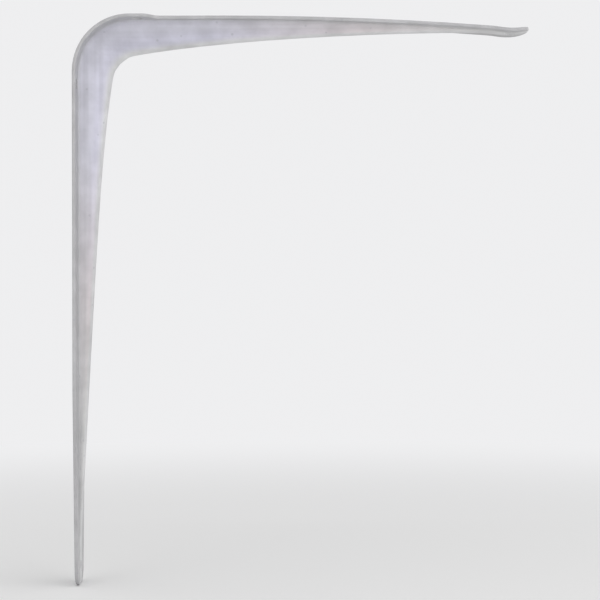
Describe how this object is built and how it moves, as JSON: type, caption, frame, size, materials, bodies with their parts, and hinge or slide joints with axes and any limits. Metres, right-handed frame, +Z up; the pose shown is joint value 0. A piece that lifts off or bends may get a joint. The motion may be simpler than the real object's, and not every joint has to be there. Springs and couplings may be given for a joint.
{
  "type": "shelf bracket",
  "caption": "Pressed-steel right-angle shelf bracket with a hollow stiffening rib that fades into flat rounded tips, screwed to wall and shelf, painted light grey.",
  "frame": {"origin": "on the wall plane, midway between the two upper wall screws", "axes": "+X out from the wall along the shelf arm, +Y across the bracket, +Z up along the wall arm"},
  "size_m": [0.2, 0.031, 0.25],
  "materials": {
    "grey_enamel": "light grey stoving enamel over pressed steel, semi-gloss, slightly mottled"
  },
  "bodies": {
    "root": {"bracket_body": "grey_enamel"}
  },
  "joints": []
}
